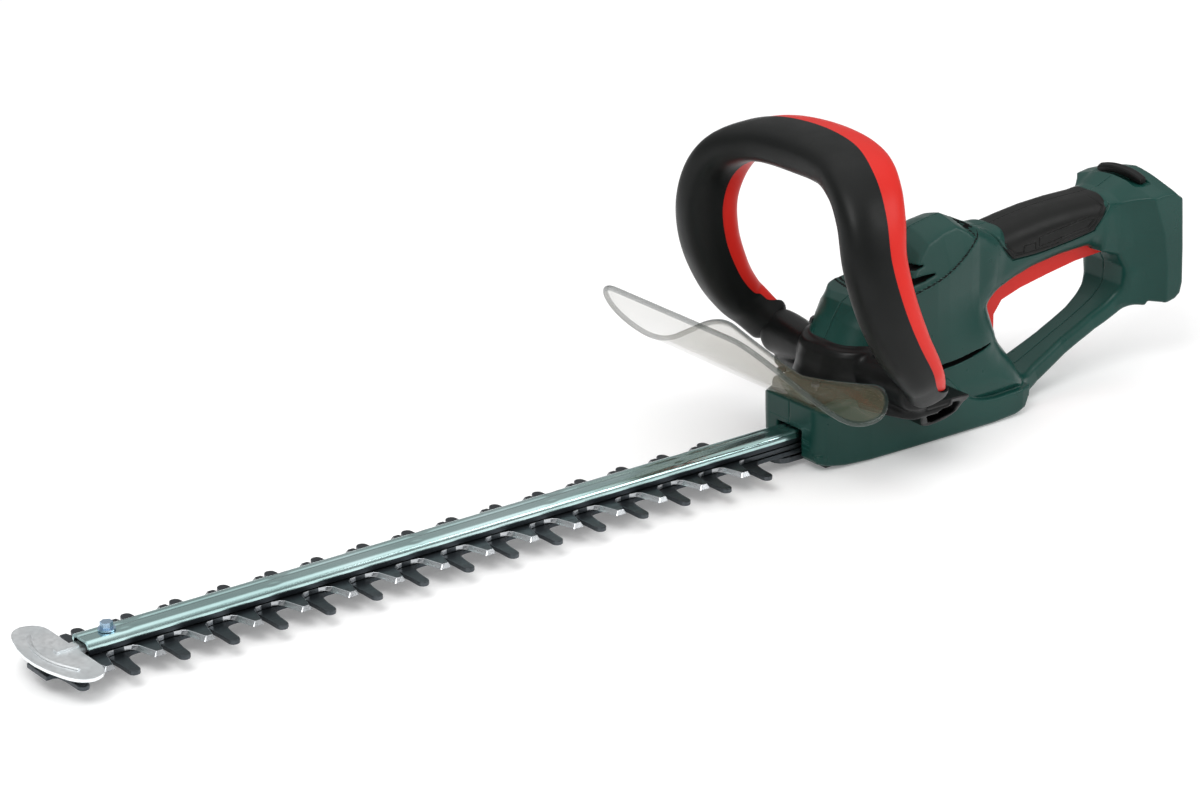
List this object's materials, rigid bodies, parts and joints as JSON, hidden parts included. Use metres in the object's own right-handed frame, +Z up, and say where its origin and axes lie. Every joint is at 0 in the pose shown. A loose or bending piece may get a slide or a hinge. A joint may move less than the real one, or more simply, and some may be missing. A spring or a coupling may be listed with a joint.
{
  "type": "cordless hedge trimmer",
  "caption": "Cordless hedge trimmer with a double-sided toothed cutter bar, smoked hand guard, front bail handle with a squeeze bar, rear D-handle with trigger and an open battery bay.",
  "frame": {"origin": "on the crank's axis, at the flat underside of the body", "axes": "+X along the bar from the blunt nose to the battery bay, +Y to the user's right hand, +Z up"},
  "size_m": [0.9008, 0.2184, 0.2301],
  "materials": {
    "blade_steel": "dark oiled steel with ground edges",
    "zinc_sheet": "bright zinc plate",
    "fastener_steel": "plain steel",
    "green_plastic": "fine grained dark green",
    "black_plastic": "fine grained black",
    "grip_rubber": "matt soft grip",
    "red_plastic": "satin red",
    "brass": "plain",
    "smoked_sheet": "clear smoked sheet with a polished rim",
    "circuit_board": "lacquered"
  },
  "bodies": {
    "machine": {"comb_blade": "blade_steel", "blade_rail": "zinc_sheet", "blade_screw_1": "fastener_steel", "blade_screw_2": "fastener_steel", "blade_screw_3": "fastener_steel", "blade_screw_4": "fastener_steel", "blade_screw_5": "fastener_steel", "tip_bolt": "fastener_steel", "tip_nut": "fastener_steel", "tip_guard": "zinc_sheet", "housing_left": "green_plastic", "housing_right": "green_plastic", "housing_screw_1": "fastener_steel", "housing_screw_2": "fastener_steel", "housing_screw_3": "fastener_steel", "housing_screw_4": "fastener_steel", "housing_screw_5": "fastener_steel", "housing_screw_6": "fastener_steel", "housing_screw_7": "fastener_steel", "base_cover": "black_plastic", "crank_bearing": "fastener_steel", "gearbox_plate": "fastener_steel", "motor_can": "fastener_steel", "blade_support": "brass", "blade_wiper": "grip_rubber", "bail_shell": "black_plastic", "bail_leaf_spring": "zinc_sheet", "bail_saddle": "black_plastic", "nose_collar": "black_plastic", "hand_guard": "smoked_sheet", "guard_screw_left": "fastener_steel", "guard_screw_right": "fastener_steel", "grip_pad_left": "grip_rubber", "grip_pad_right": "grip_rubber", "trigger_pin": "fastener_steel", "trigger_spring": "fastener_steel", "trigger_switch": "black_plastic", "bail_switch": "black_plastic", "control_board": "circuit_board", "heat_sink": "fastener_steel", "terminal_block": "black_plastic", "terminal_minus": "brass", "terminal_data": "brass", "terminal_plus": "brass"},
    "knife": {"knife_blade": "blade_steel"},
    "crank": {"drive_gear": "fastener_steel", "crank_shaft": "fastener_steel"},
    "motor_shaft": {"motor_pinion": "fastener_steel", "motor_rotor": "fastener_steel", "motor_fan": "black_plastic"},
    "bail_bar": {"bail_switch_bar": "red_plastic"},
    "trigger": {"trigger": "red_plastic"},
    "latch": {"battery_latch": "black_plastic"}
  },
  "joints": [
    {"name": "knife_slide", "type": "slide", "parent": "machine", "child": "knife", "axis": [1, 0, 0], "range_m": [-0.013, 0.005]},
    {"name": "crank_spin", "type": "hinge", "parent": "machine", "child": "crank", "pos_m": [0, 0, 0.034], "axis": [0, 0, 1], "continuous": true},
    {"name": "motor_spin", "type": "hinge", "parent": "machine", "child": "motor_shaft", "pos_m": [0.0338, 0, 0.034], "axis": [0, 0, 1], "continuous": true},
    {"name": "trigger_pull", "type": "hinge", "parent": "machine", "child": "trigger", "pos_m": [0.226, 0, 0.101], "axis": [0, 1, 0], "range_deg": [0, 4], "stiffness_Nm_per_rad": 1, "springref_deg": -5.73},
    {"name": "bail_bar_squeeze", "type": "slide", "parent": "machine", "child": "bail_bar", "axis": [-1, 0, 0], "range_m": [0, 0.004], "stiffness_N_per_m": 2000, "springref_m": -0.003},
    {"name": "latch_press", "type": "slide", "parent": "machine", "child": "latch", "axis": [-1, 0, 0], "range_m": [0, 0.004], "stiffness_N_per_m": 600, "springref_m": -0.003}
  ],
  "couplings": [
    {"joint": "motor_spin", "follows": "crank_spin", "ratio": -6.4444}
  ]
}
